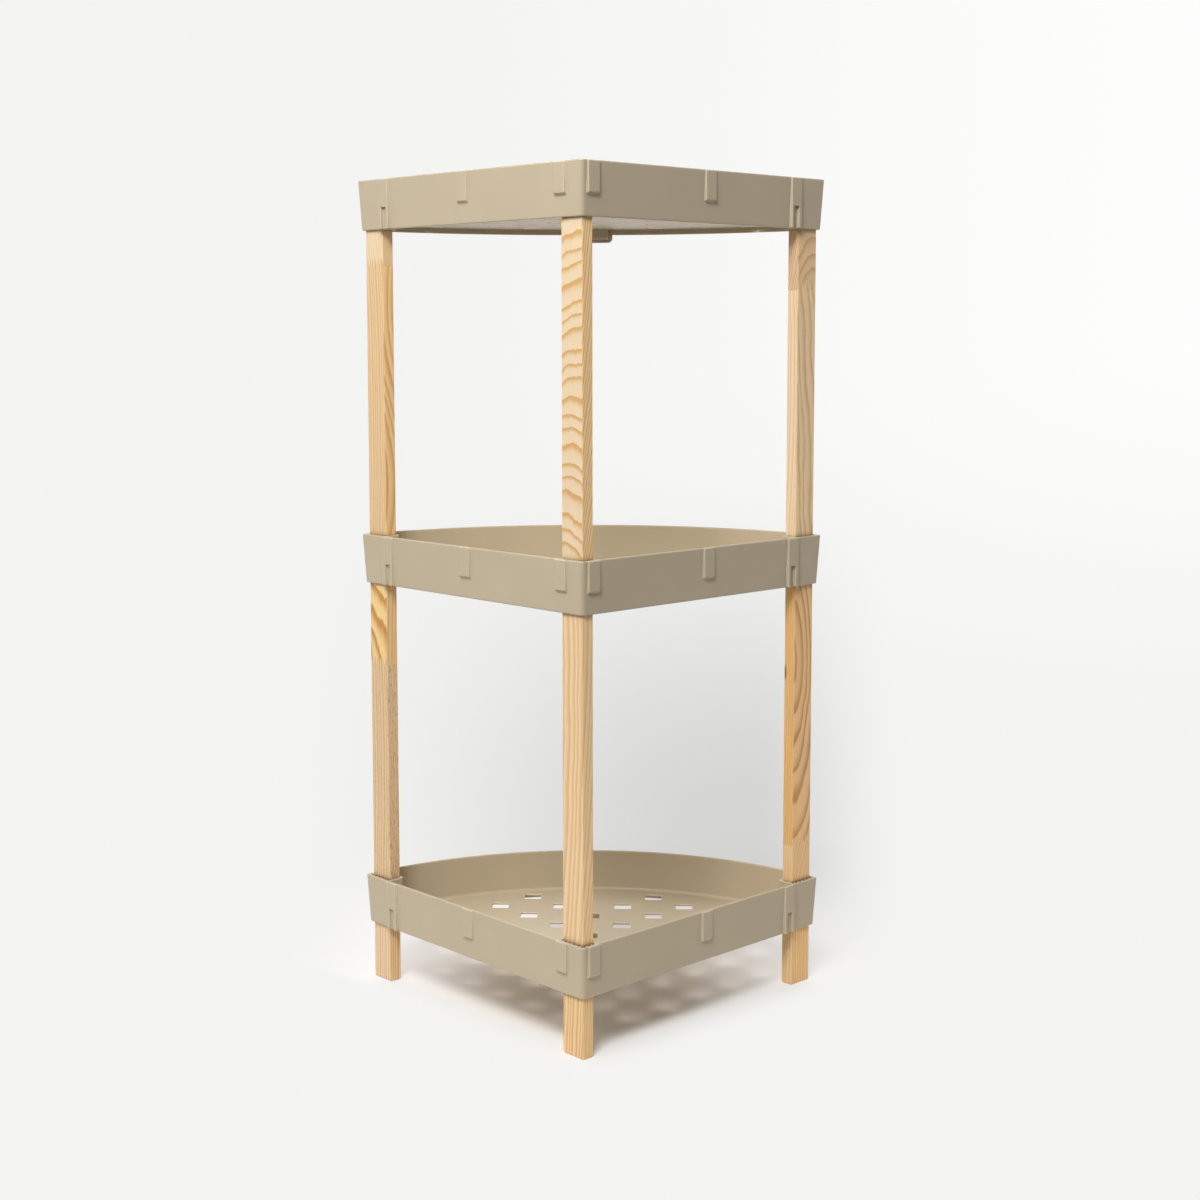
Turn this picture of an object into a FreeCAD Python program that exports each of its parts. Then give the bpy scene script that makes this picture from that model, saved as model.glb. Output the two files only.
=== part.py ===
import FreeCAD
import Part
import math
import os

# Three-tier corner shelf. Quarter-round moulded trays sit on rectangular wooden posts and legs,
# which push into sockets in the tray corners. Sizes are in millimetres.
#
# The shelf is drawn with its back corner on the Z axis: the right wall runs along +X, the left wall
# along +Y and the curved front bulges towards +X +Y. Each finished piece is then moved so that the
# origin lies under the middle of the shelf's box, on the ground.

# Tray outside
TRAY_RADIUS = 300.0
TRAY_HEIGHT = 45.0
WALL_DRAFT = 1.75
FRONT_DRAFT = 3.0
CORNER_RADIUS = 4.0
END_RADIUS = 1.5
EDGE_BREAK = 0.5

# Tray walls and floor
WALL = 2.0
FLOOR = 1.8
SKIRT = 5.0
FLOOR_RADIUS = 3.0
INNER_RADIUS = 1.0

# Wooden posts and legs
POST_WIDTH = 25.0
POST_THICKNESS = 12.0
POST_LENGTH = 320.0
POST_EDGE_RADIUS = 1.0
LEG_LENGTH = 74.0
LEG_CHAMFER = 0.9

# Post sockets
POST_CLEARANCE = 0.4
SOCKET_WEB = 3.0
SOCKET_CORNER_RADIUS = 2.5
RIB_WIDTH = 2.0
RIB_PITCH = 5.0
RIB_BELOW_RIM = 0.2
RIB_ABOVE_EDGE = 6.0

# Socket of the front leg, and the tongue of the front wall that hides it
FRONT_SOCKET_WALL = 1.4
FRONT_SOCKET_DROP = 4.6
FRONT_SOCKET_RADIUS = 1.0
TONGUE_PAST_SOCKET = 4.0
TONGUE_DROP = 7.3
TONGUE_RADIUS = 4.5

# Square openings in the floor, turned 45 degrees to the walls
SLOT_SIZE = 16.0
SLOT_RADIUS = 1.5
SLOT_PITCH = 41.4
SLOT_START = 24.7
SLOT_TO_WALL = 2.5
SLOT_TO_SOCKET = 5.0

# Raised pads on the two straight walls, which stand against the walls of the room
PAD_PROUD = 1.2
PAD_ROOT = 1.5
PAD_BEVEL = 0.8
PAD_FOOT_BEVEL = 1.8
PAD_WIDTH = 14.0
PAD_DEPTH = 27.5
PAD_PAST_SOCKET = 1.5
END_PAD_WIDTH = 15.0
END_PAD_DEPTH = 25.5
END_RIB_INNER = 4.0
END_RIB_OUTER = 5.5

# Overshoot of cutting tools past the faces that they cut
OVERSHOOT = 5.0

# Heights and places that follow from the sizes above
FLOOR_TOP = SKIRT + FLOOR
SOCKET_DEPTH = (TRAY_HEIGHT - SOCKET_WEB) / 2
TRAY_PITCH = POST_LENGTH + SOCKET_WEB
BOTTOM_TRAY_Z = LEG_LENGTH - SOCKET_DEPTH
LOWER_FRONT_RADIUS = TRAY_RADIUS - FRONT_DRAFT
LOWER_INNER_RADIUS = LOWER_FRONT_RADIUS - WALL
POST_INSET = WALL_DRAFT + WALL + POST_CLEARANCE
POST_INNER_SIDE = POST_INSET + POST_THICKNESS
END_POST_FAR = math.sqrt(LOWER_INNER_RADIUS ** 2 - POST_INNER_SIDE ** 2) - POST_CLEARANCE
END_POST_NEAR = END_POST_FAR - POST_WIDTH
SOCKET_SIDE = POST_CLEARANCE + WALL
FRONT_LEG_HALF = POST_WIDTH / 2
FRONT_LEG_REACH = math.sqrt(LOWER_INNER_RADIUS ** 2 - (FRONT_LEG_HALF + POST_CLEARANCE) ** 2)
FRONT_LEG_FAR = FRONT_LEG_REACH - POST_CLEARANCE
FRONT_LEG_NEAR = FRONT_LEG_FAR - POST_THICKNESS
FRONT_LEG_LENGTH = BOTTOM_TRAY_Z + SKIRT
FRONT_SOCKET_HALF = FRONT_LEG_HALF + POST_CLEARANCE + FRONT_SOCKET_WALL
FRONT_SOCKET_NEAR = FRONT_LEG_NEAR - POST_CLEARANCE - FRONT_SOCKET_WALL
TONGUE_HALF = FRONT_SOCKET_HALF + TONGUE_PAST_SOCKET
FRAME_SHIFT = -(TRAY_RADIUS - PAD_PROUD) / 2

# Plan rectangles of the three columns of posts: low X, high X, low Y, high Y
COLUMNS = {
    "corner": (POST_INSET, POST_INNER_SIDE, POST_INSET, POST_INSET + POST_WIDTH),
    "left": (POST_INSET, POST_INNER_SIDE, END_POST_NEAR, END_POST_FAR),
    "right": (END_POST_NEAR, END_POST_FAR, POST_INSET, POST_INNER_SIDE),
}

UP = FreeCAD.Vector(0, 0, 1)
ALONG = FreeCAD.Vector(1, 0, 0)
ORIGIN = FreeCAD.Vector(0, 0, 0)
DIAGONAL_MIRROR = FreeCAD.Vector(1, -1, 0)
DIAGONAL_ANGLE = 45


def box(low_x, high_x, low_y, high_y, low_z, high_z):
    corner = FreeCAD.Vector(low_x, low_y, low_z)
    return Part.makeBox(high_x - low_x, high_y - low_y, high_z - low_z, corner)


def vertical_edge_at(solid, x, y):
    """The solid's vertical edges that stand at x, y."""
    found = []
    for edge in solid.Edges:
        ends = [vertex.Point for vertex in edge.Vertexes]
        if all(abs(end.x - x) < 1e-6 and abs(end.y - y) < 1e-6 for end in ends):
            found.append(edge)
    return found


def swap(point):
    """The point mirrored across the shelf's diagonal."""
    return FreeCAD.Vector(point.y, point.x, point.z)


def arc(start, middle, end):
    return Part.Arc(start, middle, end).toShape()


def outline(inset, radius, corner_radius, end_radius, z):
    """Closed quarter-round outline: two straight walls at the inset, and a front arc about the corner."""
    centre_x = inset + end_radius
    centre_y = math.sqrt((radius - end_radius) ** 2 - centre_x ** 2)
    end_centre = FreeCAD.Vector(centre_x, centre_y, z)
    to_front = FreeCAD.Vector(centre_x, centre_y, 0).normalize()
    half_way = (to_front + FreeCAD.Vector(-1, 0, 0)).normalize()
    wall_start = FreeCAD.Vector(inset, inset + corner_radius, z)
    wall_end = FreeCAD.Vector(inset, centre_y, z)
    end_middle = end_centre + half_way * end_radius
    front_start = end_centre + to_front * end_radius
    front_middle = FreeCAD.Vector(radius / math.sqrt(2), radius / math.sqrt(2), z)
    corner_middle = inset + corner_radius * (1 - 1 / math.sqrt(2))
    edges = [
        Part.makeLine(wall_start, wall_end),
        arc(wall_end, end_middle, front_start),
        arc(front_start, front_middle, swap(front_start)),
        arc(swap(front_start), swap(end_middle), swap(wall_end)),
        Part.makeLine(swap(wall_end), swap(wall_start)),
        arc(swap(wall_start), FreeCAD.Vector(corner_middle, corner_middle, z), wall_start),
    ]
    return Part.Wire(edges)


def drafted_outline(z, offset, corner_radius, end_radius):
    """Outline of the drafted tray at height z, moved inwards by an offset."""
    below_rim = 1 - z / TRAY_HEIGHT
    inset = WALL_DRAFT * below_rim + offset
    radius = TRAY_RADIUS - FRONT_DRAFT * below_rim - offset
    return outline(inset, radius, corner_radius, end_radius, z)


def tray_outside():
    """Solid of the tray's outer form, with its upper and lower edges broken."""
    sections = [(0, EDGE_BREAK), (EDGE_BREAK, 0), (TRAY_HEIGHT - EDGE_BREAK, 0), (TRAY_HEIGHT, EDGE_BREAK)]
    wires = [drafted_outline(z, offset, CORNER_RADIUS, END_RADIUS) for z, offset in sections]
    return Part.makeLoft(wires, True, True)


def tray_core(low_z):
    """Solid one wall thickness inside the tray, from low_z to above the rim, where it flares."""
    sections = [
        (low_z, WALL),
        (TRAY_HEIGHT - EDGE_BREAK, WALL),
        (TRAY_HEIGHT + EDGE_BREAK, WALL - 2 * EDGE_BREAK),
    ]
    wires = [drafted_outline(z, offset, CORNER_RADIUS - WALL, INNER_RADIUS) for z, offset in sections]
    return Part.makeLoft(wires, True, True)


def skirt_core():
    """Solid of the hollow under the floor."""
    wires = [drafted_outline(z, WALL, CORNER_RADIUS - WALL, INNER_RADIUS) for z in (-OVERSHOOT, SKIRT)]
    return Part.makeLoft(wires, True, True)


def socket_box(column, margin, low_z, high_z):
    """Box round a post in plan, with a margin inside the tray, run out through the tray's walls."""
    low_x, high_x, low_y, high_y = COLUMNS[column]
    past_front = TRAY_RADIUS + OVERSHOOT
    if column == "right":
        return box(low_x - margin, past_front, -OVERSHOOT, high_y + margin, low_z, high_z)
    if column == "left":
        return box(-OVERSHOOT, high_x + margin, low_y - margin, past_front, low_z, high_z)
    return box(-OVERSHOOT, high_x + margin, -OVERSHOOT, high_y + margin, low_z, high_z)


def socket_block(column):
    """Solid that a socket keeps inside the tray, with its free corner rounded."""
    low_x, high_x, low_y, high_y = COLUMNS[column]
    block = socket_box(column, SOCKET_SIDE, -OVERSHOOT, TRAY_HEIGHT + OVERSHOOT)
    free_x = low_x - SOCKET_SIDE if column == "right" else high_x + SOCKET_SIDE
    free_y = low_y - SOCKET_SIDE if column == "left" else high_y + SOCKET_SIDE
    return block.makeFillet(SOCKET_CORNER_RADIUS, vertical_edge_at(block, free_x, free_y))


def inside(blocks):
    """Hollow of the tray above the floor, rounded where it meets the floor."""
    room = tray_core(FLOOR_TOP).cut(blocks)
    foot = [edge for edge in room.Edges if edge.BoundBox.ZMax < FLOOR_TOP + FLOOR_RADIUS / 2]
    return room.makeFillet(FLOOR_RADIUS, foot)


def rib_places(low, high):
    """Places of ribs along one side of a post, a pitch apart and centred on the side."""
    count = int((high - low) / RIB_PITCH)
    first = (low + high - RIB_PITCH * (count - 1)) / 2
    return [first + RIB_PITCH * place for place in range(count)]


def socket_ribs(column):
    """Ribs on the socket's drafted outer faces, which hold the post upright."""
    low_x, high_x, low_y, high_y = COLUMNS[column]
    low_z = RIB_ABOVE_EDGE
    high_z = TRAY_HEIGHT - RIB_BELOW_RIM
    half = RIB_WIDTH / 2
    ribs = []
    for x in rib_places(low_x, high_x):
        if column == "left":
            ribs.append(box(x - half, x + half, high_y + POST_CLEARANCE, TRAY_RADIUS, low_z, high_z))
        else:
            ribs.append(box(x - half, x + half, 0, low_y - POST_CLEARANCE, low_z, high_z))
    for y in rib_places(low_y, high_y):
        if column == "right":
            ribs.append(box(high_x + POST_CLEARANCE, TRAY_RADIUS, y - half, y + half, low_z, high_z))
        else:
            ribs.append(box(0, low_x - POST_CLEARANCE, y - half, y + half, low_z, high_z))
    return ribs


def socket_hollows(column):
    """The two hollows of a socket, above and below its web."""
    core = tray_core(-OVERSHOOT)
    hollows = []
    for low_z, high_z in (
        (-OVERSHOOT, SOCKET_DEPTH),
        (SOCKET_DEPTH + SOCKET_WEB, TRAY_HEIGHT + EDGE_BREAK),
    ):
        room = socket_box(column, POST_CLEARANCE, low_z, high_z)
        hollows.append(room.common(core).cut(socket_ribs(column)))
    return hollows


def on_diagonal(solid):
    """Turns a solid drawn along +X so that it lies along the shelf's diagonal."""
    return solid.rotate(ORIGIN, UP, DIAGONAL_ANGLE)


def lies_along(edge, direction):
    """True for a straight edge that runs along the direction."""
    return abs(edge.tangentAt(edge.FirstParameter).dot(direction)) > 0.5


def front_socket():
    """Walls round the front leg, hung from the floor and closed by the front wall."""
    half = FRONT_SOCKET_HALF
    walls = box(FRONT_SOCKET_NEAR, TRAY_RADIUS, -half, half, -FRONT_SOCKET_DROP, SKIRT + FLOOR / 2)
    rounded = []
    for edge in walls.Edges:
        middle = edge.CenterOfMass
        if middle.z < 0 and middle.x < TRAY_RADIUS:
            rounded.append(edge)
        elif lies_along(edge, UP) and middle.x < FRONT_LEG_NEAR:
            rounded.append(edge)
    walls = walls.makeFillet(FRONT_SOCKET_RADIUS, rounded)
    base = FreeCAD.Vector(0, 0, -TRAY_HEIGHT / 2)
    reach = Part.makeCylinder(LOWER_FRONT_RADIUS - WALL / 2, TRAY_HEIGHT, base)
    return on_diagonal(walls.common(reach))


def front_tongue():
    """Stretch of the front wall that hangs lower than the rest, with rounded lower corners."""
    height = TONGUE_DROP + SKIRT
    base = FreeCAD.Vector(0, 0, -TONGUE_DROP)
    hole = Part.makeCylinder(LOWER_INNER_RADIUS, height, base)
    ring = Part.makeCylinder(LOWER_FRONT_RADIUS, height, base).cut(hole)
    plate = box(0, TRAY_RADIUS, -TONGUE_HALF, TONGUE_HALF, -TONGUE_DROP, SKIRT)
    lower_edges = [edge for edge in plate.Edges if lies_along(edge, ALONG) and edge.CenterOfMass.z < 0]
    return on_diagonal(ring.common(plate.makeFillet(TONGUE_RADIUS, lower_edges)))


def front_hollow():
    """Hollow of the front leg's socket, open below."""
    half = FRONT_LEG_HALF + POST_CLEARANCE
    near = FRONT_LEG_NEAR - POST_CLEARANCE
    room = box(near, FRONT_LEG_REACH, -half, half, -TONGUE_DROP - OVERSHOOT, SKIRT)
    return on_diagonal(room)


def off_posts(x, y, room):
    """Whether a place keeps a room round it, in X or in Y, to every post's socket."""
    for low_x, high_x, low_y, high_y in COLUMNS.values():
        apart_x = max(low_x - x, x - high_x) - SOCKET_SIDE
        apart_y = max(low_y - y, y - high_y) - SOCKET_SIDE
        if max(apart_x, apart_y) < room:
            return False
    return True


def slot_places():
    """Centres of the floor openings: a grid that stays inside the walls and off the sockets."""
    reach = LOWER_INNER_RADIUS - SLOT_TO_WALL
    half = SLOT_SIZE / 2
    tip = half * math.sqrt(2)
    nearest = WALL_DRAFT + WALL + SLOT_TO_WALL + tip
    socket_half = FRONT_SOCKET_HALF + SLOT_TO_SOCKET
    socket_near = FRONT_SOCKET_NEAR - SLOT_TO_SOCKET
    count = int((TRAY_RADIUS - SLOT_START) / SLOT_PITCH) + 1
    steps = [SLOT_START + SLOT_PITCH * step for step in range(count)]
    places = []
    for x in steps:
        for y in steps:
            along = (x + y) / math.sqrt(2)
            across = abs(x - y) / math.sqrt(2)
            inside = math.hypot(along + half, across + half) < reach and min(x, y) > nearest
            off_socket = across - half > socket_half or along + half < socket_near
            if inside and off_socket and off_posts(x, y, tip + SLOT_TO_SOCKET):
                places.append(FreeCAD.Vector(x, y, 0))
    return places


def slot(place):
    """Cutter for one floor opening."""
    half = SLOT_SIZE / 2
    cutter = box(-half, half, -half, half, SKIRT - FLOOR, FLOOR_TOP + FLOOR)
    upright = [edge for edge in cutter.Edges if lies_along(edge, UP)]
    cutter = on_diagonal(cutter.makeFillet(SLOT_RADIUS, upright))
    cutter.translate(place)
    return cutter


def rectangle(low_x, high_x, y, low_z, high_z):
    corners = [(low_x, low_z), (high_x, low_z), (high_x, high_z), (low_x, high_z)]
    return [FreeCAD.Vector(x, y, z) for x, z in corners]


def flat_face(points):
    return Part.Face(Part.makePolygon(points + points[:1]))


def pad(low_x, high_x, low_z, high_z, foot_bevel):
    """Raised pad on the right wall: an upright face in front of the drafted wall, with bevelled sides."""
    root = rectangle(low_x, high_x, PAD_ROOT, low_z, high_z)
    face_low_x = low_x + PAD_BEVEL
    face_high_x = high_x - PAD_BEVEL
    face = rectangle(face_low_x, face_high_x, -PAD_PROUD, low_z + foot_bevel, high_z - EDGE_BREAK)
    faces = [flat_face(root), flat_face(face)]
    for corner in range(4):
        following = (corner + 1) % 4
        faces.append(flat_face([root[corner], root[following], face[following], face[corner]]))
    return Part.makeSolid(Part.makeShell(faces))


def end_pad():
    """Pad beside the end socket on the right wall, split into two ribs below its step."""
    high_x = END_POST_NEAR - POST_CLEARANCE
    low_x = high_x - END_PAD_WIDTH
    step_z = TRAY_HEIGHT - END_PAD_DEPTH
    return [
        pad(low_x, high_x, step_z, TRAY_HEIGHT, 0),
        pad(low_x, low_x + END_RIB_INNER, EDGE_BREAK, step_z + EDGE_BREAK, 0),
        pad(high_x - END_RIB_OUTER, high_x, EDGE_BREAK, step_z + EDGE_BREAK, 0),
    ]


def wall_pads():
    """All pads of both straight walls."""
    low_z = TRAY_HEIGHT - PAD_DEPTH
    middle = TRAY_RADIUS / 2
    right_near = COLUMNS["corner"][1] + SOCKET_SIDE + PAD_PAST_SOCKET
    left_near = COLUMNS["corner"][3] + SOCKET_SIDE + PAD_PAST_SOCKET
    right = [
        pad(right_near - PAD_WIDTH, right_near, low_z, TRAY_HEIGHT, PAD_FOOT_BEVEL),
        pad(middle - PAD_WIDTH / 2, middle + PAD_WIDTH / 2, low_z, TRAY_HEIGHT, PAD_FOOT_BEVEL),
    ] + end_pad()
    left = [
        pad(left_near - PAD_WIDTH, left_near, low_z, TRAY_HEIGHT, PAD_FOOT_BEVEL),
        pad(middle - PAD_WIDTH / 2, middle + PAD_WIDTH / 2, low_z, TRAY_HEIGHT, PAD_FOOT_BEVEL),
    ] + end_pad()
    return right + [solid.mirror(ORIGIN, DIAGONAL_MIRROR) for solid in left]


def tray():
    """One moulded tray, with its lower edge at Z 0."""
    blocks = [socket_block(column) for column in COLUMNS]
    solid = tray_outside()
    solid = solid.cut(inside(blocks))
    solid = solid.cut(skirt_core().cut(blocks))
    for column in COLUMNS:
        solid = solid.cut(socket_hollows(column))
    solid = solid.cut([slot(place) for place in slot_places()])
    solid = solid.fuse(wall_pads() + [front_socket(), front_tongue()])
    solid = solid.cut(front_hollow())
    return solid.removeSplitter()


def stick(low_x, high_x, low_y, high_y, low_z, high_z):
    """Length of rectangular timber with its long edges eased."""
    solid = box(low_x, high_x, low_y, high_y, low_z, high_z)
    upright = [edge for edge in solid.Edges if lies_along(edge, UP)]
    return solid.makeFillet(POST_EDGE_RADIUS, upright)


def foot_chamfer(leg):
    """Chamfers the outline of a leg's lower end."""
    foot = [edge for edge in leg.Edges if edge.BoundBox.ZMax < LEG_CHAMFER / 2]
    return leg.makeChamfer(LEG_CHAMFER, foot)


def front_leg():
    solid = stick(FRONT_LEG_NEAR, FRONT_LEG_FAR, -FRONT_LEG_HALF, FRONT_LEG_HALF, 0, FRONT_LEG_LENGTH)
    return on_diagonal(foot_chamfer(solid))


def shelf():
    """All pieces by node name, in the shelf's own place."""
    pieces = {}
    moulding = tray()
    for tier, name in enumerate(("bottom_tray", "middle_tray", "top_tray")):
        piece = moulding.copy()
        piece.translate(FreeCAD.Vector(0, 0, BOTTOM_TRAY_Z + TRAY_PITCH * tier))
        pieces[name] = piece
    for column, plan in COLUMNS.items():
        pieces[f"{column}_leg"] = foot_chamfer(stick(*plan, 0, LEG_LENGTH))
        for tier, name in enumerate(("lower", "upper")):
            low_z = LEG_LENGTH + SOCKET_WEB + TRAY_PITCH * tier
            pieces[f"{name}_{column}_post"] = stick(*plan, low_z, low_z + POST_LENGTH)
    pieces["front_leg"] = front_leg()
    return pieces


os.makedirs("parts", exist_ok=True)
for node, piece in shelf().items():
    piece.translate(FreeCAD.Vector(FRAME_SHIFT, FRAME_SHIFT, 0))
    piece.exportStep(f"parts/{node}.step")
    size = piece.BoundBox
    print(node, len(piece.Solids), "solid", piece.isValid(), f"{piece.Volume:.0f} mm3",
          f"{size.XMin:.2f} {size.XMax:.2f} {size.YMin:.2f} {size.YMax:.2f} {size.ZMin:.2f} {size.ZMax:.2f}")
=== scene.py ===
import bpy
import math
from mathutils import Matrix, Vector


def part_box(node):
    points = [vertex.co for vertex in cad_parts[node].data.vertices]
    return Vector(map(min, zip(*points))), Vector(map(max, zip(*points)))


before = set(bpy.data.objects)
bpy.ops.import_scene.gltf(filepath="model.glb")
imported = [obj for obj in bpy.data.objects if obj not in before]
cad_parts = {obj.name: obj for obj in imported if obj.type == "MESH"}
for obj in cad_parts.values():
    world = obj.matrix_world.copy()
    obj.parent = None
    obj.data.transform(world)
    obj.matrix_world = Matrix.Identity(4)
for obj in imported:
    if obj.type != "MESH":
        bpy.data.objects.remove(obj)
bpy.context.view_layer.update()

# Camera of the photograph: place in metres, angles in degrees, focal length and axis row in pixels
IMAGE = 1200
CAMERA_PLACE = (-1.17751, -1.25754, 0.60440)
CAMERA_YAW = 46.595
CAMERA_PITCH = -5.639
CAMERA_ROLL = -0.033
FOCAL_PIXELS = 1874.9
AXIS_ROW = 520.0
SENSOR_MM = 36.0

# Light: a soft lamp above the camera and a little to its left, a wider and weaker one above on the
# left, and a room that is bright behind the shelf.
# A lamp is its yaw and pitch in degrees, its width and height in metres, and its strength.
LAMPS = {
    "key": (213.0, 44.0, 0.75, 0.75, 0.83),
    "left": (172.0, 44.0, 2.2, 2.2, 0.395),
}
LAMP_DISTANCE = 2.3
LAMP_AIM = (0.0, 0.0, 0.4)
ROOM_COLOUR = (1.0, 0.995, 0.985)
ROOM_LIGHT = 1.9
ROOM_FILL = 0.02
ROOM_BRIGHT = (0.68, 0.71, 0.17)

# Background as seen from the camera's place: brighter at the upper right, with the shelf's soft
# shadow low behind it. The spans are shares of a unit direction, to the right, up or down.
AHEAD = (0.687, 0.726, 0.0)
RIGHT = (0.726, -0.687, 0.0)
BACKGROUND = (0.900, 0.898, 0.892)
BACKGROUND_BRIGHT = (0.985, 0.984, 0.980)
BRIGHT_ASIDE = (-0.15, 0.32)
BRIGHT_UP = (-0.22, 0.0)
BLACK = (0.0, 0.0, 0.0)
SHADE_DEPTH = 0.26
SHADE_ASIDE = (-0.17, 0.07, 0.08, 0.16)
SHADE_DOWN = (0.06, 0.26, 0.27, 0.33)

# Floor: pale, with painted warm bounce light from the trays under them, and painted dimmer well in front
# of the shelf so it throws less light back at it.
# Away from the shelf it runs out into the background.
# The fades are metres in front of the walls, to each side of the middle and behind the curved front.
FLOOR_REACH = 30.0
FLOOR_NEAR = (0.855, 0.848, 0.838)
# Painted light: warmer floor colour under the trays, for the light they throw down
FLOOR_BOUNCE = (0.855, 0.800, 0.745)
BOUNCE_FRONT = (-0.06, 0.0)
BOUNCE_BACK = (0.0, 0.15)
FLOOR_FRONT = (0.12, 0.119, 0.117)
FLOOR_DIM = (0.28, 0.75)
WALL_PLACE = -0.15
TRAY_REACH = 0.30
FADE_FRONT = (-0.03, 0.035)
FADE_SIDE = (0.06, 0.32)
FADE_BACK = (0.0, 0.5)

# Plastic: satin, with a painted highlight on its open edges, painted shade in its creases, faint clouds
# and specks, and a fine texture.
# Colours are linear, lengths in metres and scales per metre. Open spans are shares of open sky nearby.
PLASTIC = (0.500, 0.418, 0.291)
# Painted highlight: colour of the open edges, how far their surfaces turn, how open they are, and its
# share
PLASTIC_HIGHLIGHT = (0.86, 0.76, 0.58)
PLASTIC_ROUNDING = 0.0018
HIGHLIGHT_TURN = (0.01, 0.22)
HIGHLIGHT_OPEN = (0.50, 0.85)
HIGHLIGHT_SHARE = 0.8
# Painted shade: how far creases look for open sky, how closed they are, and how much darker they are
# painted
CREASE_SHADE_REACH = 0.0025
CREASE_SHADE_OPEN = (0.35, 0.90)
CREASE_SHADE_DEPTH = 0.16
CLOUD_SCALE = 22.0
CLOUD_SPAN = 0.09
SPECK_SCALE = 2600.0
SPECK_SPAN = 0.03
SATIN_SCALE = 60.0
SATIN_ROUGH = 0.35
SATIN_SPAN = 0.12
SATIN_SPECULAR = 0.35
TEXTURE_SCALE = 3800.0
TEXTURE_STRENGTH = 0.22
TEXTURE_DEPTH = 0.00006

# Linear colours of the pine, of the glue and knots on it, and of the painted shade where it enters a
# tray
IVORY = (0.90, 0.70, 0.45)
CREAM = (0.86, 0.655, 0.405)
SAND = (0.85, 0.60, 0.28)
PEACH = (0.84, 0.59, 0.325)
TAN = (0.83, 0.60, 0.355)
HONEY = (0.82, 0.52, 0.23)
ROSE = (0.77, 0.54, 0.33)
AMBER = (0.76, 0.47, 0.19)
RESIN = (0.70, 0.40, 0.14)
ORANGE = (0.62, 0.335, 0.11)
FLAME = (0.54, 0.26, 0.06)
BROWN = (0.52, 0.31, 0.14)
GLUE = (0.42, 0.25, 0.11)
KNOT = (0.10, 0.045, 0.018)
# Colour of the painted shade where a stick enters a tray
CONTACT_SHADE = (0.20, 0.11, 0.05)

# Patterns of the pine, as cycles per metre along x, y and the stick
WAVER_SCALE = (48.0, 48.0, 20.0)
RAGGED_SCALE = (650.0, 650.0, 42.0)
FIBRE_SCALE = (2300.0, 2300.0, 46.0)
DASH_SCALE = (1900.0, 1900.0, 210.0)
DASH_LEVELS = (0.54, 0.70)

# A year ring: its width goes up and down from ring to ring, and over its width, from 0 to 1, its line
# rises slowly and drops fast. The drop starts later the sharper the line is.
# Straight lines are rings about a centre that is metres aside.
RING_BEAT = 1.9
RING_SPREAD = 0.16
LINE_RISE = (0.1, 0.95)
DROP_START = 0.72
DROP_PER_SHARP = 0.08
DROP_LATEST = 0.95
CENTRE_ASIDE = 2.0

# Finish of the pine: how far clouds change its lines and its tone, then its height, gloss and seeds
LINE_CLOUD = 0.6
PINE_CLOUD = 0.08
LINE_HEIGHT = 0.4
FIBRE_HEIGHT = 0.6
PINE_ROUGH = 0.64
PINE_ROUGH_RISE = -0.12
PINE_SPECULAR = 0.3
PINE_BUMP = 0.35
PINE_BUMP_DEPTH = 0.00012
SEED_STEP = 3.7
FRONT_SEED = 0.5

# Finger joints, knots and the painted shade where a stick enters a tray, in metres and shares
FINGER_PITCH = 0.0042
FINGER_LENGTH = 0.009
GLUE_HALF = 0.0005
GLUE_SHARE = 0.35
KNOT_DEPTH = 0.0025
KNOT_EDGE = (0.3, 1.2)
KNOT_SHARE = 0.85
# Painted shade: how far a point looks for open sky, how closed it is, and the height above the floor
# where it begins
CONTACT_SHADE_REACH = 0.005
CONTACT_SHADE_OPEN = (0.2, 0.95)
CONTACT_SHADE_ABOVE = (0.008, 0.02)


# Shader nodes
def add(tree, kind, **values):
    """Adds a node. Names in values that are sockets are set or linked, the others are properties."""
    made = tree.nodes.new(kind)
    for name, value in values.items():
        if hasattr(made, name):
            setattr(made, name, value)
        else:
            plug(tree, made.inputs[name], value)
    return made


def plug(tree, socket, value):
    """Links a socket to another one, or sets it."""
    if isinstance(value, bpy.types.NodeSocket):
        tree.links.new(value, socket)
    else:
        socket.default_value = value


def calc(tree, operation, *values):
    """One Math node, whose inputs are numbers or sockets."""
    made = add(tree, "ShaderNodeMath", operation=operation)
    for socket, value in zip(made.inputs, values):
        plug(tree, socket, value)
    return made.outputs[0]


def vector(tree, operation, *values):
    """One Vector Math node."""
    made = add(tree, "ShaderNodeVectorMath", operation=operation)
    for socket, value in zip(made.inputs, values):
        plug(tree, socket, value)
    return made.outputs["Value" if operation in ("DOT_PRODUCT", "LENGTH") else "Vector"]


def split(tree, place):
    """The X, Y and Z of a vector."""
    return add(tree, "ShaderNodeSeparateXYZ", Vector=place).outputs


def squares(tree, first, *others):
    """Sum of the squares of numbers."""
    total = calc(tree, "MULTIPLY", first, first)
    for value in others:
        total = calc(tree, "MULTIPLY_ADD", value, value, total)
    return total


def smooth(tree, value, low, high):
    """0 below low, 1 above high, and smooth between."""
    made = add(tree, "ShaderNodeMapRange", interpolation_type="SMOOTHSTEP")
    for name, entry in (("Value", value), ("From Min", low), ("From Max", high)):
        plug(tree, made.inputs[name], entry)
    return made.outputs[0]


def fade(tree, value, low, high):
    """1 below low, 0 above high, and smooth between."""
    return calc(tree, "SUBTRACT", 1.0, smooth(tree, value, low, high))


def hump(tree, value, rise, top, fall, end):
    """0 outside rise and end, 1 between top and fall."""
    return calc(tree, "SUBTRACT", smooth(tree, value, rise, top), smooth(tree, value, fall, end))


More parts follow.
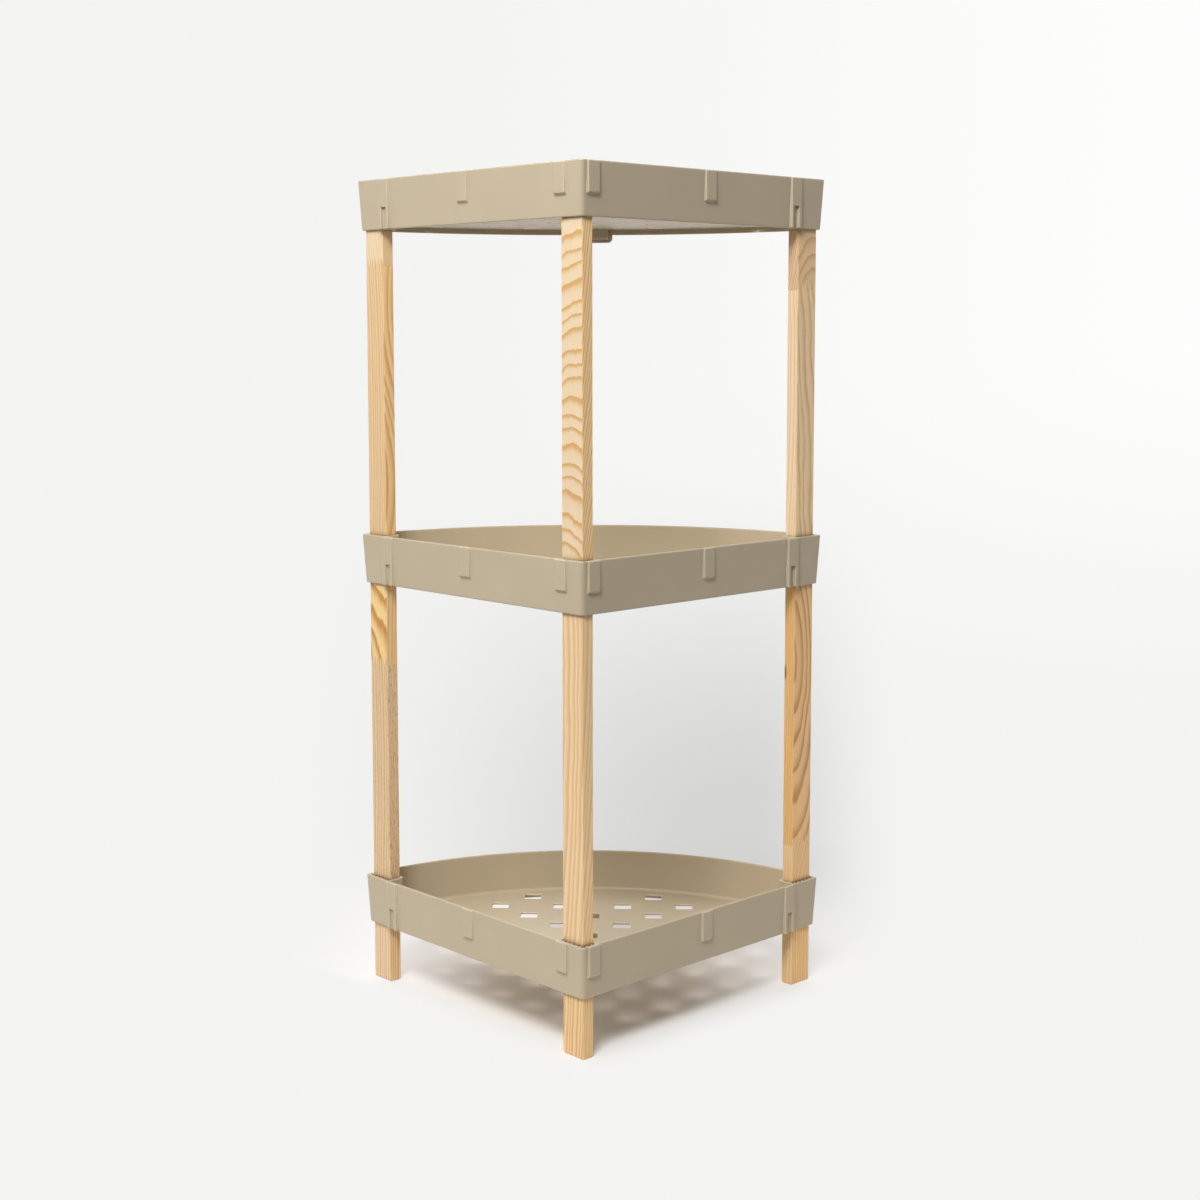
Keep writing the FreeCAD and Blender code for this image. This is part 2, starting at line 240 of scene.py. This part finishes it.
def vary(tree, value, pattern, span):
    """A number that a pattern of 0 to 1 moves up and down over a span."""
    return calc(tree, "MULTIPLY_ADD", calc(tree, "SUBTRACT", pattern, 0.5), span, value)


def either(tree, share, first, second):
    """Mixes two numbers by a share."""
    return calc(tree, "MULTIPLY_ADD", share, calc(tree, "SUBTRACT", second, first), first)


def blend(tree, share, first, second, mode="MIX"):
    """Mixes two colours by a share."""
    made = add(tree, "ShaderNodeMix", data_type="RGBA", blend_type=mode)
    plug(tree, made.inputs["Factor"], share)
    for name, value in (("A", first), ("B", second)):
        socket = next(s for s in made.inputs if s.name == name and s.type == "RGBA")
        plug(tree, socket, value if isinstance(value, bpy.types.NodeSocket) else (*value, 1))
    return next(s for s in made.outputs if s.type == "RGBA")


def toned(tree, colour, tone):
    """A colour times a number."""
    grey = add(tree, "ShaderNodeCombineColor", Red=tone, Green=tone, Blue=tone).outputs[0]
    return blend(tree, 1.0, colour, grey, "MULTIPLY")


def noise(tree, place, scale, detail, rough=0.5):
    """Noise of 0 to 1. The scale is a number, or one for each axis."""
    if isinstance(scale, tuple):
        place, scale = vector(tree, "MULTIPLY", place, scale), 1.0
    made = add(tree, "ShaderNodeTexNoise", Vector=place, Scale=scale, Detail=detail, Roughness=rough)
    return made.outputs["Fac"]


def open_sky(tree, reach):
    """Share of the sky that a point sees within a reach."""
    return add(tree, "ShaderNodeAmbientOcclusion", samples=4, Distance=reach).outputs["AO"]


def bare_tree(owner):
    """The empty node tree of a material or a world."""
    owner.use_nodes = True
    owner.node_tree.nodes.clear()
    return owner.node_tree


def mixed_output(tree, kind, share, first, second):
    """Output of two shaders mixed by a share."""
    mix = add(tree, "ShaderNodeMixShader", Fac=share)
    tree.links.new(first.outputs[0], mix.inputs[1])
    tree.links.new(second.outputs[0], mix.inputs[2])
    tree.links.new(mix.outputs[0], add(tree, kind).inputs["Surface"])


def new_material(name):
    """A material with one plain shader."""
    material = bpy.data.materials.new(name)
    tree = bare_tree(material)
    surface = add(tree, "ShaderNodeBsdfPrincipled")
    output = add(tree, "ShaderNodeOutputMaterial")
    tree.links.new(surface.outputs[0], output.inputs["Surface"])
    return material, tree, surface


def dress(node, material):
    """Gives a CAD node its material."""
    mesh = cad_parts[node].data
    mesh.materials.clear()
    mesh.materials.append(material)


# Satin moulded plastic
def plastic_material():
    material, tree, surface = new_material("tray_plastic")
    place = add(tree, "ShaderNodeTexCoord").outputs["Object"]
    rounded = add(tree, "ShaderNodeBevel", samples=8, Radius=PLASTIC_ROUNDING).outputs["Normal"]
    flat = add(tree, "ShaderNodeNewGeometry").outputs["Normal"]
    turn = calc(tree, "SUBTRACT", 1.0, vector(tree, "DOT_PRODUCT", rounded, flat))
    open_share = open_sky(tree, CREASE_SHADE_REACH)
    # Painted highlight: edges that turn and see open sky are painted paler
    painted_highlight = smooth(tree, turn, *HIGHLIGHT_TURN)
    painted_highlight = calc(tree, "MULTIPLY", painted_highlight, smooth(tree, open_share, *HIGHLIGHT_OPEN))
    # Painted shade: creases that see little open sky are painted darker
    crease_shade = fade(tree, open_share, *CREASE_SHADE_OPEN)
    tone = vary(tree, 1.0, noise(tree, place, CLOUD_SCALE, detail=3.0), CLOUD_SPAN)
    tone = vary(tree, tone, noise(tree, place, SPECK_SCALE, detail=1.0), SPECK_SPAN)
    tone = calc(tree, "MULTIPLY", tone, calc(tree, "MULTIPLY_ADD", crease_shade, -CREASE_SHADE_DEPTH, 1.0))
    colour = blend(tree, calc(tree, "MULTIPLY", painted_highlight, HIGHLIGHT_SHARE), PLASTIC, PLASTIC_HIGHLIGHT)
    plug(tree, surface.inputs["Base Color"], toned(tree, colour, tone))
    satin = noise(tree, place, SATIN_SCALE, detail=4.0)
    plug(tree, surface.inputs["Roughness"], vary(tree, SATIN_ROUGH, satin, SATIN_SPAN))
    surface.inputs["Specular IOR Level"].default_value = SATIN_SPECULAR
    texture = noise(tree, place, TEXTURE_SCALE, detail=2.0, rough=0.6)
    bump = add(tree, "ShaderNodeBump", Strength=TEXTURE_STRENGTH, Distance=TEXTURE_DEPTH,
               Height=texture, Normal=rounded)
    plug(tree, surface.inputs["Normal"], bump.outputs[0])
    return material


# Pine: on each face of a stick the year rings show as curves about a centre, with fibres along it
def pine_rings():
    """Node group: line of the summer wood, 0 to 1, fibres, dashes and clouds at a place on a face."""
    tree = bpy.data.node_groups.new("pine_rings", "ShaderNodeTree")
    for name in ("Place", "Centre", "Sway"):
        tree.interface.new_socket(name, in_out="INPUT", socket_type="NodeSocketVector")
    for name in ("Across", "Aspect", "Ring", "Warp", "Ragged", "Sharp", "Seed"):
        tree.interface.new_socket(name, in_out="INPUT", socket_type="NodeSocketFloat")
    for name in ("Line", "Fibre", "Dash", "Cloud"):
        tree.interface.new_socket(name, in_out="OUTPUT", socket_type="NodeSocketFloat")
    given = tree.nodes.new("NodeGroupInput").outputs
    result = tree.nodes.new("NodeGroupOutput").inputs

    # Patterns, moved by the seed
    seed = given["Seed"]
    shift = add(tree, "ShaderNodeCombineXYZ", X=seed, Y=seed, Z=seed).outputs[0]
    moved = vector(tree, "ADD", given["Place"], shift)
    cloud = noise(tree, moved, WAVER_SCALE, detail=2.0)
    ragged = noise(tree, moved, RAGGED_SCALE, detail=2.0)
    fibre = noise(tree, moved, FIBRE_SCALE, detail=3.0, rough=0.6)
    dash = noise(tree, moved, DASH_SCALE, detail=1.0)

    # How many rings a place is from the centre. A sway is its width, its length and its height.
    height = split(tree, given["Place"])["Z"]
    centre = split(tree, given["Centre"])
    sway = split(tree, given["Sway"])
    radian = calc(tree, "DIVIDE", sway["Y"], 2 * math.pi)
    turn = calc(tree, "DIVIDE", calc(tree, "SUBTRACT", height, sway["Z"]), radian)
    across = calc(tree, "MULTIPLY_ADD", calc(tree, "COSINE", turn), sway["X"], given["Across"])
    wide = calc(tree, "MULTIPLY", calc(tree, "SUBTRACT", across, centre["X"]), given["Aspect"])
    long = calc(tree, "SUBTRACT", height, centre["Y"])
    count = calc(tree, "DIVIDE", calc(tree, "SQRT", squares(tree, wide, long)), given["Ring"])
    count = vary(tree, count, cloud, given["Warp"])
    count = vary(tree, count, ragged, given["Ragged"])
    beat = calc(tree, "SINE", calc(tree, "MULTIPLY", count, RING_BEAT))
    count = calc(tree, "MULTIPLY_ADD", beat, RING_SPREAD, count)

    # Line of the summer wood
    part = calc(tree, "FRACT", count)
    rise = calc(tree, "POWER", smooth(tree, part, *LINE_RISE), given["Sharp"])
    start = calc(tree, "MULTIPLY_ADD", given["Sharp"], DROP_PER_SHARP, DROP_START)
    drop = fade(tree, part, calc(tree, "MINIMUM", start, DROP_LATEST), 1.0)
    tree.links.new(calc(tree, "MULTIPLY", rise, drop), result["Line"])
    tree.links.new(fibre, result["Fibre"])
    tree.links.new(smooth(tree, dash, *DASH_LEVELS), result["Dash"])
    tree.links.new(cloud, result["Cloud"])
    return tree


PINE_RINGS = pine_rings()


def grain(centre, aspect, ring, pale=CREAM, dark=AMBER, tint=(1.0, 1.0, 1.0), depth=0.7, warp=0.35,
          ragged=0.25, sharp=2.0, fibre=0.18, dash=0.05, sway=(0.0, 1.0, 0.0)):
    """Grain on one face.

    The centre of the rings is metres across and up the stick, and ring is their pitch up the stick.
    Across the stick the pitch is smaller by aspect. Lines waver by warp rings each way.
    """
    # Tints are partly the face's own colour and partly painted light: they lighten faces that lie in
    # shade and darken lit ones
    pale, dark = (tuple(part * share for part, share in zip(colour, tint)) for colour in (pale, dark))
    return {
        "rings": {"Centre": (*centre, 0.0), "Aspect": aspect, "Ring": ring, "Warp": 2 * warp,
                  "Ragged": ragged, "Sharp": sharp, "Sway": sway},
        "pale": pale, "dark": dark, "depth": depth, "fibre": fibre, "dash": dash,
    }


def straight(pitch, lean=0.0, height=0.4, **finish):
    """Lines along the stick, which at a height move across by lean times the way up."""
    return grain((-CENTRE_ASIDE, height + CENTRE_ASIDE * lean), 1.0, pitch, **finish)


def timber(tree, place, across, seed, face):
    """Colour and height of the timber on one face."""
    rings = add(tree, "ShaderNodeGroup", node_tree=PINE_RINGS)
    given = {"Place": place, "Across": across, "Seed": seed, **face["rings"]}
    for name, value in given.items():
        plug(tree, rings.inputs[name], value)
    line, fibre, dash, cloud = (rings.outputs[name] for name in ("Line", "Fibre", "Dash", "Cloud"))
    depth = vary(tree, face["depth"], cloud, LINE_CLOUD * face["depth"])
    colour = blend(tree, calc(tree, "MULTIPLY", line, depth), face["pale"], face["dark"])
    tone = vary(tree, 1.0, fibre, face["fibre"])
    tone = vary(tree, tone, cloud, PINE_CLOUD)
    tone = calc(tree, "SUBTRACT", tone, calc(tree, "MULTIPLY", dash, face["dash"]))
    height = calc(tree, "MULTIPLY", fibre, FIBRE_HEIGHT)
    height = calc(tree, "MULTIPLY_ADD", line, LINE_HEIGHT, height)
    return toned(tree, colour, tone), height


def pine_material(node, lengths, joint=None, knots=()):
    """Pine of one or two lengths, the second below a finger joint at a height.

    A length is its grain on the side and on the front. A knot is its place across and up the side,
    and half its width and length.
    """
    material, tree, surface = new_material(f"pine_{node}")
    low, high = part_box(node)
    coordinates = add(tree, "ShaderNodeTexCoord").outputs
    place = coordinates["Object"]
    parts = split(tree, place)
    facing = split(tree, coordinates["Normal"])
    along_x, along_y = (calc(tree, "ABSOLUTE", facing[name]) for name in ("X", "Y"))
    is_front = calc(tree, "GREATER_THAN", along_y, along_x)
    across_side = calc(tree, "SUBTRACT", high[1], parts["Y"])
    across_front = calc(tree, "SUBTRACT", parts["X"], low[0])

    # Lengths
    seed = SEED_STEP * (sorted(PINES).index(node) + 1)
    made = []
    for step, (side, front) in enumerate(lengths):
        side_seed = seed + step
        side_colour, side_height = timber(tree, place, across_side, side_seed, side)
        front_colour, front_height = timber(tree, place, across_front, side_seed + FRONT_SEED, front)
        made.append((blend(tree, is_front, side_colour, front_colour),
                     either(tree, is_front, side_height, front_height)))
    colour, height = made[0]

    # Finger joint
    if joint is not None:
        lower_colour, lower_height = made[1]
        wide = across_side if high[1] - low[1] > high[0] - low[0] else across_front
        teeth = calc(tree, "PINGPONG", calc(tree, "DIVIDE", wide, FINGER_PITCH / 2), 1.0)
        seam = calc(tree, "MULTIPLY_ADD", teeth, FINGER_LENGTH, joint - FINGER_LENGTH / 2)
        above = calc(tree, "SUBTRACT", parts["Z"], seam)
        is_below = calc(tree, "LESS_THAN", above, 0.0)
        colour = blend(tree, is_below, colour, lower_colour)
        height = either(tree, is_below, height, lower_height)
        glue = fade(tree, calc(tree, "ABSOLUTE", above), 0.0, GLUE_HALF)
        colour = blend(tree, calc(tree, "MULTIPLY", glue, GLUE_SHARE), colour, GLUE)

    # Knots
    for across, up, half_width, half_length in knots:
        wide = calc(tree, "DIVIDE", calc(tree, "SUBTRACT", across_side, across), half_width)
        long = calc(tree, "DIVIDE", calc(tree, "SUBTRACT", parts["Z"], up), half_length)
        deep = calc(tree, "DIVIDE", across_front, KNOT_DEPTH)
        inside = fade(tree, squares(tree, wide, long, deep), *KNOT_EDGE)
        colour = blend(tree, calc(tree, "MULTIPLY", inside, KNOT_SHARE), colour, KNOT)

    # Painted shade in the gaps where a stick enters a tray, and not where a leg meets the floor
    contact_shade = fade(tree, open_sky(tree, CONTACT_SHADE_REACH), *CONTACT_SHADE_OPEN)
    contact_shade = calc(tree, "MULTIPLY", contact_shade, smooth(tree, parts["Z"], *CONTACT_SHADE_ABOVE))
    colour = blend(tree, contact_shade, colour, CONTACT_SHADE)

    rough = calc(tree, "MULTIPLY_ADD", height, PINE_ROUGH_RISE, PINE_ROUGH)
    bump = add(tree, "ShaderNodeBump", Strength=PINE_BUMP, Distance=PINE_BUMP_DEPTH, Height=height)
    plug(tree, surface.inputs["Base Color"], colour)
    plug(tree, surface.inputs["Roughness"], rough)
    surface.inputs["Specular IOR Level"].default_value = PINE_SPECULAR
    plug(tree, surface.inputs["Normal"], bump.outputs[0])
    return material


# Grain of every stick, on its side and its front, upper length first
# Tints are partly each face's own colour and partly painted light, mostly lightening the shaded fronts
# and darkening the lit sides
PINES = {
    "upper_left_post": dict(joint=0.6705, lengths=[
        (straight(0.0042, pale=IVORY, depth=0.4, tint=(0.89, 0.89, 0.90)),
         straight(0.003, pale=TAN, depth=0.4, tint=(1.05, 1.03, 0.98))),
        (straight(0.0034, 0.004, 0.52, pale=PEACH, dark=ORANGE, depth=0.75, sharp=1.0, fibre=0.26,
                  dash=0.12, tint=(0.937, 0.965, 1.02)),
         straight(0.0062, pale=PEACH, dark=ORANGE, depth=0.95, warp=0.15, sharp=1.5,
                  sway=(0.010, 0.272, 0.610), tint=(1.15, 1.12, 1.0))),
    ]),
    "upper_corner_post": dict(lengths=[
        (grain((0.010, 0.180), 3.0, 0.0134, dark=RESIN, depth=1.25, warp=0.45, ragged=0.22, sharp=4.6,
               sway=(-0.02, 0.7, 0.68), tint=(0.91, 0.925, 0.975)),
         straight(0.0030, 0.20, 0.56, pale=TAN, dark=BROWN, depth=0.75, sharp=1.0, dash=0.1,
                  tint=(1.24, 1.19, 1.04))),
    ]),
    "upper_right_post": dict(joint=0.649, lengths=[
        (straight(0.0030, 0.24, 0.68, pale=ROSE, dark=BROWN, depth=0.7),
         grain((0.022, 0.570), 3.0, 0.0156, pale=TAN, dark=BROWN, depth=0.6, warp=0.2, sharp=3.0,
               tint=(1.10, 1.05, 1.0))),
        (straight(0.0034, 0.01, 0.54, pale=IVORY, depth=0.85, sharp=1.1, tint=(0.995, 1.025, 1.115)),
         straight(0.0080, -0.08, 0.54, pale=TAN, dark=BROWN, depth=0.65, warp=0.7,
                  tint=(1.2, 1.22, 1.22))),
    ]),
    "lower_left_post": dict(joint=0.3037, knots=[(0.0004, 0.312, 0.0015, 0.010)], lengths=[
        (grain((-0.045, 0.290), 1.0, 0.0165, pale=SAND, dark=FLAME, depth=1.3, warp=0.5, ragged=0.4,
               sharp=1.5),
         straight(0.0040, 0.03, 0.34, pale=PEACH, dark=ORANGE, depth=0.7, tint=(1.02, 1.0, 0.94))),
        (straight(0.0034, 0.004, 0.2, pale=TAN, dark=BROWN, depth=0.75, warp=0.5, sharp=1.0, fibre=0.34,
                  dash=0.26, tint=(0.93, 0.93, 0.94)),
         straight(0.0026, 0.0, 0.2, pale=TAN, dark=BROWN, depth=0.55, sharp=1.0, fibre=0.34, dash=0.4,
                  tint=(1.03, 1.01, 1.01))),
    ]),
    "lower_corner_post": dict(lengths=[
        (straight(0.0056, 0.037, 0.24, pale=IVORY, depth=0.95, warp=0.5, ragged=0.15, sharp=0.9,
                  tint=(0.915, 0.875, 0.84)),
         straight(0.0042, 0.084, 0.24, pale=TAN, dark=BROWN, depth=0.55, warp=0.25, sharp=1.3,
                  tint=(1.19, 1.14, 1.05))),
    ]),
    "lower_right_post": dict(joint=0.1375, knots=[(0.0006, 0.2945, 0.0022, 0.008)], lengths=[
        (straight(0.0024, 0.01, 0.25, pale=HONEY, dark=ORANGE, depth=0.7, warp=0.6, fibre=0.36, dash=0.1,
                  tint=(1.01, 0.96, 0.89)),
         grain((-0.002, 0.306), 4.0, 0.027, pale=TAN, dark=BROWN, depth=1.05, warp=0.45, ragged=0.15,
               sharp=2.5, tint=(1.16, 1.0, 0.82))),
        (straight(0.0030, 0.05, 0.11, pale=PEACH, dark=ORANGE, depth=0.4),
         straight(0.0034, 0.35, 0.11, pale=TAN, dark=BROWN, depth=0.4, tint=(1.15, 1.02, 0.88))),
    ]),
    "left_leg": dict(lengths=[
        (straight(0.0030, 0.0, 0.03, pale=IVORY, dark=BROWN, depth=0.9, warp=0.1, ragged=0.1, sharp=0.8,
                  tint=(0.965, 0.93, 0.93)),
         straight(0.0029, 0.0, 0.03, pale=PEACH, dark=BROWN, depth=1.0, warp=0.1, ragged=0.1, sharp=0.8,
                  tint=(1.10, 1.08, 1.02))),
    ]),
    "corner_leg": dict(lengths=[
        (straight(0.0040, 0.04, 0.03, pale=PEACH, dark=BROWN, depth=0.95, warp=0.5, sharp=1.0,
                  tint=(1.03, 1.005, 0.965)),
         straight(0.0026, 0.04, 0.03, pale=PEACH, dark=BROWN, depth=0.5, sharp=1.2,
                  tint=(1.09, 1.045, 0.935))),
    ]),
    "right_leg": dict(lengths=[
        (straight(0.0030, 0.0, 0.03, pale=PEACH, dark=ORANGE, depth=0.6, warp=0.6),
         straight(0.0026, 0.0, 0.03, pale=PEACH, dark=BROWN, depth=0.8, warp=0.1, ragged=0.1, sharp=0.8,
                  tint=(1.255, 1.165, 0.975))),
    ]),
    "front_leg": dict(lengths=[
        (straight(0.0040, 0.02, 0.03),
         straight(0.0034, 0.02, 0.03, pale=PEACH, depth=0.6)),
    ]),
}

plastic = plastic_material()
for tray in ("top_tray", "middle_tray", "bottom_tray"):
    dress(tray, plastic)
for stick, choice in PINES.items():
    dress(stick, pine_material(stick, **choice))


# Floor that runs out into the background
def backdrop_colour(tree, way):
    """Colour of the background in a direction from the camera's place."""
    aside = vector(tree, "DOT_PRODUCT", way, RIGHT)
    up = split(tree, way)["Z"]
    down = calc(tree, "MULTIPLY", up, -1.0)
    bright = calc(tree, "MULTIPLY", smooth(tree, aside, *BRIGHT_ASIDE), smooth(tree, up, *BRIGHT_UP))
    shade = calc(tree, "MULTIPLY", hump(tree, aside, *SHADE_ASIDE), hump(tree, down, *SHADE_DOWN))
    colour = blend(tree, bright, BACKGROUND, BACKGROUND_BRIGHT)
    return blend(tree, calc(tree, "MULTIPLY", shade, SHADE_DEPTH), colour, BLACK)


def seen_directly(tree):
    """1 where the camera sees the background, also in a mirror or through glass."""
    path = add(tree, "ShaderNodeLightPath").outputs
    mirrored = calc(tree, "MAXIMUM", path["Is Glossy Ray"], path["Is Transmission Ray"])
    return calc(tree, "MAXIMUM", path["Is Camera Ray"], mirrored)


def floor():
    corners = [(FLOOR_REACH * x, FLOOR_REACH * y, 0) for x, y in ((-1, -1), (1, -1), (1, 1), (-1, 1))]
    mesh = bpy.data.meshes.new("floor")
    mesh.from_pydata(corners, [], [(0, 1, 2, 3)])
    plane = bpy.data.objects.new("floor", mesh)
    bpy.context.scene.collection.objects.link(plane)
    material = bpy.data.materials.new("floor")
    tree = bare_tree(material)
    place = add(tree, "ShaderNodeTexCoord").outputs["Object"]
    parts = split(tree, place)
    to_camera = calc(tree, "MULTIPLY", vector(tree, "DOT_PRODUCT", place, AHEAD), -1.0)
    to_side = calc(tree, "ABSOLUTE", vector(tree, "DOT_PRODUCT", place, RIGHT))
    nearest = calc(tree, "MINIMUM", parts["X"], parts["Y"])
    before_walls = calc(tree, "SUBTRACT", WALL_PLACE, nearest)
    from_corner = vector(tree, "SUBTRACT", place, (WALL_PLACE, WALL_PLACE, 0.0))
    behind_curve = calc(tree, "SUBTRACT", vector(tree, "LENGTH", from_corner), TRAY_REACH)

    def outside(front, back):
        """1 well in front of the walls or behind the curved front, 0 under the trays."""
        in_front, behind = smooth(tree, before_walls, *front), smooth(tree, behind_curve, *back)
        return calc(tree, "MAXIMUM", in_front, behind)

    far = calc(tree, "MAXIMUM", outside(FADE_FRONT, FADE_BACK), smooth(tree, to_side, *FADE_SIDE))
    # Painted light: under the trays the floor is painted warmer, for the light the trays throw down on
    # it
    near = blend(tree, outside(BOUNCE_FRONT, BOUNCE_BACK), FLOOR_BOUNCE, FLOOR_NEAR)
    # Well in front of the shelf the floor is painted dark, so it throws less light back at the shelf
    paper = blend(tree, smooth(tree, to_camera, *FLOOR_DIM), near, FLOOR_FRONT)
    matte = add(tree, "ShaderNodeBsdfDiffuse", Color=paper)
    way = vector(tree, "NORMALIZE", vector(tree, "SUBTRACT", place, CAMERA_PLACE))
    glow = add(tree, "ShaderNodeEmission", Color=backdrop_colour(tree, way), Strength=1.0)
    share = calc(tree, "MULTIPLY", seen_directly(tree), far)
    mixed_output(tree, "ShaderNodeOutputMaterial", share, matte, glow)
    mesh.materials.append(material)


# Room, lamps and camera
def room():
    world = bpy.data.worlds.new("room")
    bpy.context.scene.world = world
    tree = bare_tree(world)
    way = add(tree, "ShaderNodeTexCoord").outputs["Generated"]
    bright = calc(tree, "MAXIMUM", vector(tree, "DOT_PRODUCT", way, ROOM_BRIGHT), 0.0)
    level = calc(tree, "MULTIPLY_ADD", bright, ROOM_LIGHT, ROOM_FILL)
    light = add(tree, "ShaderNodeBackground", Color=(*ROOM_COLOUR, 1), Strength=level)
    backdrop = add(tree, "ShaderNodeBackground", Color=backdrop_colour(tree, way), Strength=1.0)
    mixed_output(tree, "ShaderNodeOutputWorld", seen_directly(tree), light, backdrop)


def direction(yaw, pitch):
    """Unit vector of two angles in radians."""
    return Vector((math.cos(pitch) * math.cos(yaw), math.cos(pitch) * math.sin(yaw), math.sin(pitch)))


def lamp(name, yaw, pitch, width, height, strength):
    """Rectangular lamp that faces the middle of the shelf.

    At strength 1 a white face that looks at it renders white.
    """
    data = bpy.data.lights.new(name, "AREA")
    data.shape = "RECTANGLE"
    data.size = width
    data.size_y = height
    data.energy = strength * (math.pi * LAMP_DISTANCE) ** 2
    made = bpy.data.objects.new(name, data)
    towards = direction(math.radians(yaw), math.radians(pitch))
    made.location = Vector(LAMP_AIM) + towards * LAMP_DISTANCE
    made.rotation_euler = towards.to_track_quat("Z", "Y").to_euler()
    bpy.context.scene.collection.objects.link(made)


def camera():
    yaw, pitch, roll = (math.radians(angle) for angle in (CAMERA_YAW, CAMERA_PITCH, CAMERA_ROLL))
    ahead = direction(yaw, pitch)
    level = Vector((math.sin(yaw), -math.cos(yaw), 0))
    above = level.cross(ahead)
    right = level * math.cos(roll) + above * math.sin(roll)
    up = above * math.cos(roll) - level * math.sin(roll)
    data = bpy.data.cameras.new("camera")
    data.sensor_width = SENSOR_MM
    data.lens = FOCAL_PIXELS / IMAGE * SENSOR_MM
    data.shift_y = (AXIS_ROW - IMAGE / 2) / IMAGE
    made = bpy.data.objects.new("camera", data)
    turn = Matrix((right, up, -ahead)).transposed().to_4x4()
    made.matrix_world = Matrix.Translation(CAMERA_PLACE) @ turn
    bpy.context.scene.collection.objects.link(made)
    bpy.context.scene.camera = made


floor()
room()
for name, settings in LAMPS.items():
    lamp(name, *settings)
camera()
bpy.context.scene.view_settings.view_transform = "Standard"
